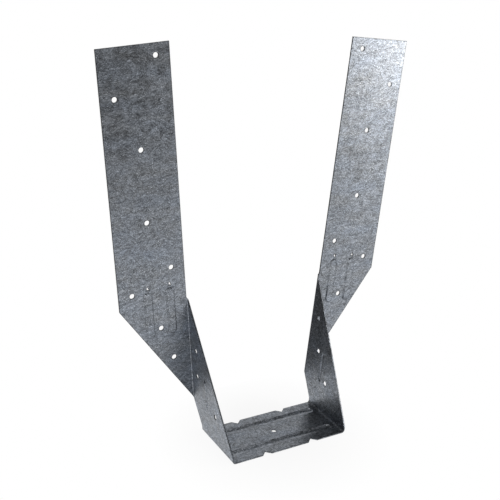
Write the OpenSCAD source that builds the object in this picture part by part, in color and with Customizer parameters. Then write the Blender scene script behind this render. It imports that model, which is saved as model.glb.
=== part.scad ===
// Long-leg joist hanger, folded from one blank of galvanised steel sheet.
// A flat seat carries the joist. A tapering side plate rises from each end of
// the seat and turns outwards at a second fold into a tall nailing flange.
// X runs across the joist, Y points towards the header, Z is up. The origin is
// in the middle of the seat's top face, where the joist rests.

/* [Joist] */
// Clear width between the side plates at the seat
joist_w = 125; // [75:1:150]
// Height of each leg from the seat's top face to its top edge, along the leg
leg_h = 387.5; // [330:0.5:450]
// Outward lean of each leg before it is nailed on, in degrees
leg_splay = 5; // [0:0.5:8]

/* [Sheet] */
// Thickness of the sheet
sheet_t = 1.2; // [0.8:0.1:2]
// Inside radius of the seat folds
seat_fold_r = 2; // [1.5:0.1:2.5]
// Inside radius of the header folds
header_fold_r = 0.8; // [0.6:0.1:1.5]

/* [Seat] */
// Length of the seat along the joist
seat_l = 65.5; // [60:0.5:90]
// Distance from the header face to the seat's back edge
seat_gap = 17; // [12:0.5:24]
// Width of the V notches in the seat's front and back edges
notch_w = 10; // [6:0.5:14]
// Distance of each notch from the middle of the seat
notch_x = 26; // [18:0.5:40]
// Width of the beads pressed down into the seat
seat_bead_w = 9; // [6:0.5:11]
// Depth of the seat beads
seat_bead_h = 1.2; // [0.6:0.1:1.5]
// Distance of each seat bead from the middle of the seat's length
seat_bead_y = 17.5; // [13:0.5:20]
// Distance from the end of a seat bead to the side plate
seat_bead_gap = 5; // [4:0.5:12]

/* [Side plates] */
// Height of the square-cut edges at the foot of each side plate
land_h = 5; // [4:0.5:8]
// Height of the header fold's upper end, at the flange
fold_top_h = 140.5; // [130:0.5:160]
// Height of the header fold's lower end, half way round the bend
fold_bottom_h = 29.5; // [20:0.5:34]
// Width of the short bead pressed outwards in each side plate
plate_bead_w = 5; // [3:0.5:7]
// Depth of the side plate bead
plate_bead_h = 0.8; // [0.4:0.1:1.2]
// Length of the side plate bead
plate_bead_l = 32; // [15:1:40]
// Distance of the side plate bead from the header face
plate_bead_y = 30; // [26:0.5:34]
// Height of the middle of the side plate bead
plate_bead_z = 46; // [36:0.5:52]

/* [Flanges] */
// Reach of each flange from the joist's face to its outer edge
flange_w = 70; // [62:0.5:90]
// Height at which the flange's outer edge starts to taper in
elbow_h = 142.5; // [125:0.5:160]
// Width of the ribs pressed forwards in each flange
rib_w = 8.5; // [6:0.5:10]
// Height of the ribs above the flange's front face
rib_h = 0.8; // [0.4:0.1:1.2]
// Distance of the inner rib from the joist's face
inner_rib_x = 18.5; // [12:0.5:22]
// Distance of the outer rib from the joist's face
outer_rib_x = 41; // [36:0.5:46]
// Depth of the ribs' lower ends below the elbow
rib_drop = 35.5; // [20:0.5:40]
// Height of the ribs' upper ends above the elbow
rib_rise = 13; // [0:0.5:14]

/* [Locating prongs] */
// Width of each prong at its root
prong_w = 3.5; // [2:0.5:6]
// Length of each prong, and of the opening that it is cut from
prong_l = 4; // [2:0.5:8]
// Distance from a rib's upper end to its prong
prong_gap = 2; // [1.5:0.5:6]

/* [Nail holes] */
// Diameter of every nail hole
nail_d = 5; // [3:0.1:6]
// Distance of the inner column of flange holes from the joist's face
inner_column = 15.5; // [12:0.5:22]
// Distance of the outer column of flange holes from the flange's outer edge
outer_column = 13.5; // [8:0.5:20]
// Depth of the first hole below the leg's top edge, in the inner column
top_nail = 11; // [6:0.5:20]
// Depth of the second hole below the leg's top edge, in the outer column
second_nail = 45; // [30:0.5:60]
// Depth of the third hole below the leg's top edge, in the middle
third_nail = 93.5; // [75:0.5:110]
// Height of the fourth hole above the elbow, in the middle
fourth_nail = 82; // [60:0.5:100]
// Height of the fifth hole above the elbow, in the inner column
fifth_nail = 33; // [28:0.5:44]
// Height of the sixth hole above the elbow, in the outer column
sixth_nail = 13.5; // [6:0.5:24]
// Distance of the seventh hole from the joist's face, and its depth below the elbow
seventh_nail = [30, 27]; // [20:0.5:36]
// Distance of the eighth hole from the joist's face, and its depth below the elbow
eighth_nail = [19, 61.5]; // [14:0.5:66]
// Distance of the left plate's top hole from the header face, and its height
left_top_nail = [13, 87]; // [8:0.5:95]
// Distance of the left plate's middle hole from the header face, and its height
left_middle_nail = [12.5, 59]; // [8:0.5:80]
// Distance of the left plate's bottom hole from the header face, and its height
left_bottom_nail = [48.5, 32]; // [24:0.5:60]
// Distance of the right plate's top hole from the header face, and its height
right_top_nail = [13.5, 94.5]; // [8:0.5:100]
// Distance of the right plate's middle hole from the header face, and its height
right_middle_nail = [21, 61]; // [8:0.5:80]
// Distance of the right plate's bottom hole from the header face, and its height
right_bottom_nail = [40, 32.5]; // [24:0.5:60]

/* [Hidden] */
$fn = 64;

zinc_grey = [0.53, 0.55, 0.58];

// Outside radius of the header folds. Above each fold the flange's inner edge
// stands this far from the joist's face.
outer_r = header_fold_r + sheet_t;

// The sub-parts are drawn with the header face in the plane y = 0. The seat
// then lies between these front and back edges.
seat_back = -seat_gap;
seat_front = seat_back - seat_l;
seat_mid = (seat_front + seat_back) / 2;

// The seat folds turn the sheet up by less than a right angle when the legs lean out.
seat_turn = 90 - leg_splay;
seat_tangent = seat_fold_r * tan(seat_turn / 2);
seat_flat_x = joist_w / 2 - seat_tangent;

// Radius of the sheet's middle line in a header fold, and its length round half the fold.
fold_mid_r = header_fold_r + sheet_t / 2;
half_arc = fold_mid_r * PI / 4;

// The sheet's lower edge climbs from the seat's back corner, round the header
// fold and out to the elbow. Its slopes in the flat blank, as rise over run.
heel_slope = (fold_bottom_h - land_h) / (-seat_back - outer_r + half_arc);
taper_slope = (elbow_h - fold_bottom_h) / (flange_w - outer_r + half_arc);

// The side plate's front edge climbs in one straight line from the seat, round
// the header fold to the flange's inner edge. Its slope in the flat blank.
front_slope = (fold_top_h - land_h) / (-seat_front - outer_r + 2 * half_arc);

// Heights of those edges at a distance along the blank from the middle of the
// header fold: towards the seat below 0, towards the flange above 0.
function edge_slope(d) = d < 0 ? heel_slope : taper_slope;
function lower_edge(d) = fold_bottom_h + edge_slope(d) * d;
function upper_edge(d) = fold_top_h + front_slope * (d - half_arc);

// Radius of a bead's arc from its width and depth, and the width of the bulge
// that it raises on the far side of the sheet.
function bead_r(w, h) = (w * w / 4 + h * h) / (2 * h);
function bulge_w(w, h) = 2 * sqrt(h * (2 * bead_r(w, h) + 2 * sheet_t - h));

// A rib's far side is narrower by this much at each shoulder, which slopes at 45 degrees.
rib_inset = sheet_t * tan(22.5);

// Each end of a header fold is trimmed by this many short cuts round the bend.
FOLD_CUTS = 6;
// Each seat fold stands this much proud of the sheet all round, and the flats
// beside it run this far into it, so that they join as one sheet.
FOLD_SKIN = 0.01;
FOLD_LAP = 0.2;
// Cutters pass this far beyond the sheet on each side.
MARGIN = 1;

// Flange holes, as distance from the joist's face and height.
flange_nails = [
    [inner_column, leg_h - top_nail],
    [flange_w - outer_column, leg_h - second_nail],
    [(inner_column + flange_w - outer_column) / 2, leg_h - third_nail],
    [(inner_column + flange_w - outer_column) / 2, elbow_h + fourth_nail],
    [inner_column, elbow_h + fifth_nail],
    [flange_w - outer_column, elbow_h + sixth_nail],
    [seventh_nail[0], elbow_h - seventh_nail[1]],
    [eighth_nail[0], elbow_h - eighth_nail[1]]
];

// The side plates' holes are staggered, so that nails driven from both sides miss
// each other.
left_plate_nails = [left_top_nail, left_middle_nail, left_bottom_nail];
right_plate_nails = [right_top_nail, right_middle_nail, right_bottom_nail];

// A bead from end to end along X, with its flat top in the XY plane and its
// rounded belly below.
module bead(length, w, h) {
    r = bead_r(w, h);
    straight = length - w;

    module section() {
        intersection() {
            translate([0, r - h])
                circle(r);
            translate([-w, -2 * h])
                square([2 * w, 2 * h]);
        }
    }

    rotate([90, 0, 90])
        linear_extrude(straight, center = true)
            section();
    for (end = [0, 180])
        rotate([0, 0, end])
            translate([straight / 2, 0, 0])
                rotate([0, 0, -90])
                    rotate_extrude(angle = 180)
                        intersection() {
                            section();
                            translate([0, -2 * h])
                                square([w, 2 * h]);
                        }
}

// A rib from end to end along X, standing on the XY plane, with a flat top,
// shoulders at 45 degrees and round ends.
module rib(length, w, h) {
    straight = length - w;

    rotate([90, 0, 90])
        linear_extrude(straight, center = true)
            polygon([[-w / 2, 0], [w / 2, 0], [w / 2 - h, h], [h - w / 2, h]]);
    for (end = [0, 180])
        rotate([0, 0, end])
            translate([straight / 2, 0, 0])
                rotate([0, 0, -90])
                    rotate_extrude(angle = 180)
                        polygon([[0, 0], [w / 2, 0], [w / 2 - h, h], [0, h]]);
}

// The two square-cornered V notches in the seat edge at y, which faces +Y (1) or -Y (-1).
module notches(y, facing) {
    for (side = [-1, 1])
        translate([side * notch_x, y, -sheet_t - MARGIN])
            linear_extrude(sheet_t + 2 * MARGIN)
                polygon([
                    [-notch_w / 2 - MARGIN, facing * MARGIN],
                    [notch_w / 2 + MARGIN, facing * MARGIN],
                    [0, -facing * notch_w / 2]
                ]);
}

module seat() {
    bead_l = joist_w - 2 * seat_bead_gap;
    skin_w = bulge_w(seat_bead_w, seat_bead_h);

    difference() {
        union() {
            translate([-seat_flat_x - FOLD_LAP, seat_front, -sheet_t])
                cube([2 * (seat_flat_x + FOLD_LAP), seat_l, sheet_t]);
            for (side = [-1, 1])
                translate([0, seat_mid + side * seat_bead_y, -sheet_t])
                    bead(bead_l + skin_w - seat_bead_w, skin_w, seat_bead_h);
        }
        for (side = [-1, 1])
            translate([0, seat_mid + side * seat_bead_y, 0])
                bead(bead_l, seat_bead_w, seat_bead_h);
        notches(seat_front, -1);
        notches(seat_back, 1);
        translate([0, seat_mid, -sheet_t - MARGIN])
            cylinder(d = nail_d, h = sheet_t + 2 * MARGIN);
    }
}

// The fold from the seat up into the right-hand side plate.
module seat_fold() {
    translate([seat_flat_x, seat_back, seat_fold_r])
        rotate([90, 0, 0])
            rotate([0, 0, -90])
                rotate_extrude(angle = seat_turn)
                    translate([seat_fold_r - FOLD_SKIN, -FOLD_SKIN])
                        square([sheet_t + 2 * FOLD_SKIN, seat_l + 2 * FOLD_SKIN]);
}

// Places a shape at distance y from the header face and height z on a side
// plate, with its Z pointing outwards and its X pointing up.
module on_plate(y, z) {
    translate([0, -y, z])
        rotate([0, 90, 0])
            rotate([0, 0, 180])
                children();
}

// Places a shape at distance x from the joist's face and height z on a flange,
// with its Z pointing forwards and its X pointing up.
module on_flange(x, z) {
    translate([x, 0, z])
        rotate([90, 0, 0])
            rotate([0, 0, 90])
                children();
}

// Each leg is drawn upright, with the joist's face in the plane x = 0.
module side_plate(nails) {
    skin_w = bulge_w(plate_bead_w, plate_bead_h);

    difference() {
        union() {
            rotate([90, 0, 90])
                linear_extrude(sheet_t)
                    polygon([
                        [seat_front, seat_tangent - FOLD_LAP],
                        [seat_front, land_h],
                        [-outer_r, upper_edge(-half_arc)],
                        [-outer_r, lower_edge(-half_arc)],
                        [seat_back, land_h],
                        [seat_back, seat_tangent - FOLD_LAP]
                    ]);
            on_plate(plate_bead_y, plate_bead_z)
                translate([0, 0, sheet_t])
                    rotate([180, 0, 0])
                        bead(plate_bead_l + skin_w - plate_bead_w, skin_w, plate_bead_h);
        }
        on_plate(plate_bead_y, plate_bead_z)
            rotate([180, 0, 0])
                bead(plate_bead_l, plate_bead_w, plate_bead_h);
        for (nail = nails)
            on_plate(nail[0], nail[1])
                translate([0, 0, -MARGIN])
                    cylinder(d = nail_d, h = sheet_t + 2 * MARGIN);
    }
}

// The fold from the side plate out into the flange. The cuts follow the lower
// and upper edges as they climb round the bend.
module header_fold() {
    step = 90 / FOLD_CUTS;
    reach = outer_r * tan(step / 2);

    translate([outer_r, -outer_r, 0])
        difference() {
            translate([0, 0, land_h])
                rotate([0, 0, 90])
                    rotate_extrude(angle = 90)
                        translate([header_fold_r, 0])
                            square([sheet_t, fold_top_h - land_h]);
            for (i = [0 : FOLD_CUTS - 1]) {
                turned = (i + 0.5) * step;
                d = fold_mid_r * (turned - 45) * PI / 180;
                lower_rise = reach * edge_slope(d);
                upper_rise = reach * front_slope;
                rotate([0, 0, 180 - turned])
                    rotate([90, 0, 90])
                        linear_extrude(outer_r + MARGIN) {
                            polygon([
                                [-reach, land_h - MARGIN],
                                [reach, land_h - MARGIN],
                                [reach, lower_edge(d) - lower_rise],
                                [-reach, lower_edge(d) + lower_rise]
                            ]);
                            polygon([
                                [-reach, upper_edge(d) + upper_rise],
                                [reach, upper_edge(d) - upper_rise],
                                [reach, fold_top_h + 2 * MARGIN],
                                [-reach, fold_top_h + 2 * MARGIN]
                            ]);
                        }
            }
        }
}

module flange() {
    rib_l = rib_drop + rib_rise;
    rib_z = elbow_h + (rib_rise - rib_drop) / 2;
    prong_z = elbow_h + rib_rise + prong_gap;

    difference() {
        union() {
            rotate([90, 0, 0])
                linear_extrude(sheet_t)
                    polygon([
                        [outer_r, lower_edge(half_arc)],
                        [flange_w, elbow_h],
                        [flange_w, leg_h],
                        [outer_r, leg_h]
                    ]);
            for (x = [inner_rib_x, outer_rib_x])
                on_flange(x, rib_z)
                    translate([0, 0, sheet_t])
                        rib(rib_l, rib_w, rib_h);
        }
        for (x = [inner_rib_x, outer_rib_x]) {
            on_flange(x, rib_z)
                rib(rib_l - 2 * rib_inset, rib_w - 2 * rib_inset, rib_h);
            on_flange(x, prong_z)
                translate([0, 0, -MARGIN])
                    linear_extrude(sheet_t + 2 * MARGIN)
                        polygon([[0, -prong_w / 2], [0, prong_w / 2], [prong_l, 0]]);
        }
        for (nail = flange_nails)
            on_flange(nail[0], nail[1])
                translate([0, 0, -MARGIN])
                    cylinder(d = nail_d, h = sheet_t + 2 * MARGIN);
    }
    for (x = [inner_rib_x, outer_rib_x])
        translate([x, 0, prong_z - sheet_t])
            linear_extrude(sheet_t)
                polygon([
                    [-prong_w / 2, -sheet_t],
                    [prong_w / 2, -sheet_t],
                    [prong_w / 2, 0],
                    [0, prong_l],
                    [-prong_w / 2, 0]
                ]);
}

module leg(nails) {
    seat_fold();
    translate([joist_w / 2, 0, 0])
        rotate([0, leg_splay, 0]) {
            side_plate(nails);
            header_fold();
            flange();
        }
}

module joist_hanger() {
    color(zinc_grey)
        translate([0, -seat_mid, 0]) {
            seat();
            leg(right_plate_nails);
            mirror([1, 0, 0])
                leg(left_plate_nails);
        }
}

joist_hanger();
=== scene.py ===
import math

import bpy
from mathutils import Matrix, Vector


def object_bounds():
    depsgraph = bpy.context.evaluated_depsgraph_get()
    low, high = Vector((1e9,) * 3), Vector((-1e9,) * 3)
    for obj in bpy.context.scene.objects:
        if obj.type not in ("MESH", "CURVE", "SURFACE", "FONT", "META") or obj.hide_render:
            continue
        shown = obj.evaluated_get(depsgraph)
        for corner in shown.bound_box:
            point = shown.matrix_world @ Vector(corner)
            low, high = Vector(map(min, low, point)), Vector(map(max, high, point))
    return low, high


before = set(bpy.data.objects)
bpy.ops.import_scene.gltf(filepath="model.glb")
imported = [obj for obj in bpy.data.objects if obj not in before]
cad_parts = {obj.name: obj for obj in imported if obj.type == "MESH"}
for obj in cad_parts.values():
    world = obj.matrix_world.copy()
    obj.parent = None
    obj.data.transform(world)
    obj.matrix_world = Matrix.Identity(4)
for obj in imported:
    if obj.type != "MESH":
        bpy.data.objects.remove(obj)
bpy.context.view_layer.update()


# The hanger is one blank of hot-dip galvanised steel sheet, sheared, punched, pressed
# and folded. The zinc has frozen in small dull spangles with leaning streaks and light
# specks, and the rolls have left faint bands. Sheared edges are darker, partly from wear
# and partly from painted shade at the rims of holes, and painted shade darkens the folds.

MM = 0.001

SPANGLE = 7 * MM
STREAK = 1.4 * MM
STREAK_STRETCH = (0.35, 0.35, 1)
STREAK_LEAN = 1.25
GRAIN = 0.9 * MM
BAND = 4 * MM
BAND_STRETCH = (0.22, 0.5, 1)
CLOUD = 10 * MM
CLOUD_STRETCH = (0.2, 0.5, 1)
EDGE_WIDTH = 1.1 * MM
EDGE_SAMPLES = 8

BLUE_ZINC = (0.214, 0.239, 0.279, 1)
DULL_ZINC = (0.238, 0.250, 0.266, 1)
BASE_TINT = 0.97
FLECK_CONTRAST = 0.5
STREAK_MARK = 2.2
GRAIN_MARK = 2.0
SPECK_MARK = 0.9
BAND_MARK = 0.6
CLOUD_MARK = 0.12
SPANGLE_MARK = 0.12
SPECK_FROM = 0.58
SPECK_SHARPNESS = 8
FOLD_REACH = 3
FOLD_SHADE = 0.42
EDGE_FROM = 0.2
EDGE_SHARPNESS = 8
EDGE_WEAR_AND_SHADE = 0.85
CLOUD_BLUE = 1.3
SPANGLE_BLUE = 0.3
ZINC_ROUGHNESS = 0.38
SPANGLE_ROUGHNESS = 0.08
GRAIN_ROUGHNESS = 0.2
EDGE_ROUGHNESS = 0.1
GRAIN_HEIGHT = 0.5
BAND_HEIGHT = 5
RELIEF_STRENGTH = 0.3
RELIEF_DEPTH = 0.05 * MM

MIX_FIRST, MIX_SECOND, MIX_RESULT = 6, 7, 2    # a Mix node's colour sockets


class Shade:
    """A socket of a node tree that takes part in Python arithmetic."""

    def __init__(self, tree, socket=None):
        self.tree = tree
        self.socket = socket

    def node(self, kind, settings=None, inputs=None, output=0):
        made = self.tree.nodes.new("ShaderNode" + kind)
        for name, value in (settings or {}).items():
            setattr(made, name, value)
        for name, value in (inputs or {}).items():
            if isinstance(value, Shade):
                self.tree.links.new(value.socket, made.inputs[name])
            else:
                made.inputs[name].default_value = value
        return Shade(self.tree, made.outputs[output]) if made.outputs else None

    def math(self, operation, first, second=0.0):
        return self.node("Math", {"operation": operation}, {0: first, 1: second})

    def clamped(self):
        return self.node("Clamp", None, {0: self})

    def __add__(self, other):
        return self.math("ADD", self, other)

    __radd__ = __add__

    def __sub__(self, other):
        return self.math("SUBTRACT", self, other)

    def __rsub__(self, other):
        return self.math("SUBTRACT", other, self)

    def __mul__(self, other):
        return self.math("MULTIPLY", self, other)

    __rmul__ = __mul__


def patches(place, size):
    return place.node("TexNoise", None, {"Vector": place, "Scale": 1 / size})


def stretched(place, stretch):
    return place.node("Mapping", None, {"Vector": place, "Scale": stretch})


def galvanised():
    material = bpy.data.materials.new("galvanised_sheet")
    material.use_nodes = True
    tree = material.node_tree
    tree.nodes.clear()
    start = Shade(tree)

    place = start.node("TexCoord", output="Object")
    spangle = start.node("TexVoronoi", None, {"Vector": place, "Scale": 1 / SPANGLE}, "Color")
    tone = start.node("SeparateColor", None, {"Color": spangle}, "Red")
    lean = start.node("VectorMath", {"operation": "SUBTRACT"}, {0: spangle, 1: (0.5, 0.5, 0.5)})
    angles = start.node("VectorMath", {"operation": "SCALE"}, {0: lean, "Scale": STREAK_LEAN})
    turned = start.node("VectorRotate", {"rotation_type": "EULER_XYZ"},
                        {"Vector": place, "Rotation": angles})
    streak = patches(stretched(turned, STREAK_STRETCH), STREAK)
    grain = patches(place, GRAIN)
    band = patches(stretched(place, BAND_STRETCH), BAND)
    cloud = patches(stretched(place, CLOUD_STRETCH), CLOUD)
    speck = (SPECK_SHARPNESS * (grain - SPECK_FROM)).clamped()

    # A rounded normal leaves the true one near an edge, and a little near a fold.
    # The fold mask paints shade into the colour along the folds.
    faced = start.node("NewGeometry", output="Normal")
    rounded = start.node("Bevel", {"samples": EDGE_SAMPLES}, {"Radius": EDGE_WIDTH})
    even = start.node("VectorMath", {"operation": "DOT_PRODUCT"}, {0: faced, 1: rounded}, "Value")
    fold_shade = (FOLD_REACH * start.math("SQRT", (1 - even).clamped())).clamped()
    # Edge mask: worn sheared edges, plus painted shade at hole rims and fold borders.
    worn_shaded_edge = (EDGE_SHARPNESS * (1 - even) - EDGE_FROM).clamped()

    # Each pattern runs from 0 to 1, so its middle, 0.5, leaves the zinc as it is.
    flecks = (STREAK_MARK * (streak - 0.5) + GRAIN_MARK * (grain - 0.5) + SPECK_MARK * speck
              + BAND_MARK * (band - 0.5) + CLOUD_MARK * (cloud - 0.5)
              + SPANGLE_MARK * (tone - 0.5))
    tint = BASE_TINT + FLECK_CONTRAST * flecks
    # The colour carries painted shade along the folds, and at sheared edges wear together with
    # painted shade.
    light = tint * tint * (1 - FOLD_SHADE * fold_shade) * (1 - EDGE_WEAR_AND_SHADE * worn_shaded_edge)
    blue = (0.5 + CLOUD_BLUE * (cloud - 0.5) + SPANGLE_BLUE * (tone - 0.5)).clamped()
    zinc = start.node("Mix", {"data_type": "RGBA"},
                      {0: blue, MIX_FIRST: DULL_ZINC, MIX_SECOND: BLUE_ZINC}, MIX_RESULT)
    colour = start.node("VectorMath", {"operation": "SCALE"}, {0: zinc, "Scale": light})

    roughness = (ZINC_ROUGHNESS + SPANGLE_ROUGHNESS * (tone - 0.5)
                 + GRAIN_ROUGHNESS * (grain - 0.5) + EDGE_ROUGHNESS * worn_shaded_edge)
    height = streak + GRAIN_HEIGHT * grain + BAND_HEIGHT * band
    relief = start.node("Bump", None, {"Strength": RELIEF_STRENGTH, "Distance": RELIEF_DEPTH,
                                       "Height": height})
    skin = start.node("BsdfPrincipled", None, {"Base Color": colour, "Metallic": 1.0,
                                               "Roughness": roughness, "Normal": relief})
    start.node("OutputMaterial", None, {"Surface": skin})
    return material


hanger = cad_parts["joist_hanger"]
hanger.material_slots[0].material = galvanised()


# The table top is a pale painted board whose back edge is close behind the hanger.
# The camera and the zinc see it white, and it keeps the hanger's soft shadow.

TABLE_FRONT = -0.75
TABLE_BACK = 0.105
TABLE_WIDTH = 1.5
TABLE_GAP = 0.1 * MM
SHADOW_REACH = 0.12
WHITE_UNDER_HANGER = 0.85
TABLE_GREY = (0.8, 0.8, 0.8, 1)
WHITE = (1, 1, 1, 1)


def ray(start, kind):
    return start.node("LightPath", output="Is " + kind + " Ray")


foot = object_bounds()[0][2]
bpy.ops.object.select_all(action="DESELECT")
bpy.ops.mesh.primitive_plane_add(
    size=1, location=(0, (TABLE_FRONT + TABLE_BACK) / 2, foot - TABLE_GAP))
table_top = bpy.context.object
table_top.scale = (TABLE_WIDTH, TABLE_BACK - TABLE_FRONT, 1)
bpy.ops.object.transform_apply()
table_top.name = "table_top"

table_paint = bpy.data.materials.new("table_paint")
table_paint.use_nodes = True
table_paint.node_tree.nodes.clear()
start = Shade(table_paint.node_tree)
matt = start.node("BsdfDiffuse", None, {"Color": TABLE_GREY})
white = start.node("Emission", None, {"Color": WHITE, "Strength": 1.0})
spot = start.node("TexCoord", output="Object")
away = start.node("VectorMath", {"operation": "LENGTH"}, {0: spot}, "Value")
fade = (WHITE_UNDER_HANGER + (1 - WHITE_UNDER_HANGER) / SHADOW_REACH * away).clamped()
seen = ray(start, "Camera") + ray(start, "Glossy") + ray(start, "Transmission")
surface = start.node("MixShader", None, {0: fade * seen, 1: matt, 2: white})
start.node("OutputMaterial", None, {"Surface": surface})
table_top.data.materials.append(table_paint)


# The room is dim. It has one soft window low on the right, a weaker fill on the left
# and a weak ceiling light. The camera sees the room white all round, and the zinc sees
# it white only in a broad backdrop behind the hanger.

LAMP_AIM = Vector((0, 0, 0.2))
LAMP_DISTANCE = 1.6
LAMP_COLOUR = (1, 0.98, 0.95)
ROOM = 0.115
BACKDROP_AZIMUTH = 150
BACKDROP_ELEVATION = 0
BACKDROP_REACH = 39
BACKDROP_SHARPNESS = 12


def way_to(azimuth, elevation):
    a, e = math.radians(azimuth), math.radians(elevation)
    return Vector((math.sin(a) * math.cos(e), -math.cos(a) * math.cos(e), math.sin(e)))


def soft_light(name, azimuth, elevation, size, power):
    way = way_to(azimuth, elevation)
    lamp = bpy.data.lights.new(name, "AREA")
    lamp.shape = "SQUARE"
    lamp.size = size
    lamp.energy = power
    lamp.color = LAMP_COLOUR
    placed = bpy.data.objects.new(name, lamp)
    bpy.context.collection.objects.link(placed)
    placed.location = LAMP_AIM + way * LAMP_DISTANCE
    placed.rotation_euler = way.to_track_quat("Z", "Y").to_euler()


soft_light("window", 60, 5, size=0.6, power=23)
soft_light("fill", -60, 8, size=0.8, power=8)
soft_light("ceiling", 0, 85, size=0.8, power=7)

world = bpy.data.worlds.new("room")
bpy.context.scene.world = world
world.use_nodes = True
world.node_tree.nodes.clear()
start = Shade(world.node_tree)
toward = start.node("TexCoord", output="Object")
facing = start.node("VectorMath", {"operation": "DOT_PRODUCT"},
                    {0: toward, 1: way_to(BACKDROP_AZIMUTH, BACKDROP_ELEVATION)}, "Value")
rim = math.cos(math.radians(BACKDROP_REACH))
backdrop = (BACKDROP_SHARPNESS * (facing - rim) + 0.5).clamped()
mirrored = ray(start, "Glossy") + ray(start, "Transmission")
shown = (ray(start, "Camera") + backdrop * mirrored).clamped()
room = start.node("Background", None, {"Color": WHITE, "Strength": ROOM + (1 - ROOM) * shown})
start.node("OutputWorld", None, {"Surface": room})


# The camera stands on the joist's side, to the left and a little above the seat.

CAMERA_PLACE = Vector((-0.4171, -0.6644, 0.4825))
CAMERA_AZIMUTH = 31.26
CAMERA_ELEVATION = 16.72
CAMERA_ROLL = 2.78
CAMERA_LENS = 63.63
CAMERA_SENSOR = 36
CAMERA_SHIFT = (-0.047, -0.109)

camera_data = bpy.data.cameras.new("camera")
camera_data.lens = CAMERA_LENS
camera_data.sensor_width = CAMERA_SENSOR
camera_data.shift_x, camera_data.shift_y = CAMERA_SHIFT
camera = bpy.data.objects.new("camera", camera_data)
bpy.context.collection.objects.link(camera)
turned = (Matrix.Rotation(-math.radians(CAMERA_AZIMUTH), 4, "Z")
          @ Matrix.Rotation(math.radians(90 - CAMERA_ELEVATION), 4, "X")
          @ Matrix.Rotation(math.radians(CAMERA_ROLL), 4, "Z"))
camera.matrix_world = Matrix.Translation(CAMERA_PLACE) @ turned
bpy.context.scene.camera = camera

bpy.context.scene.view_settings.view_transform = "Standard"
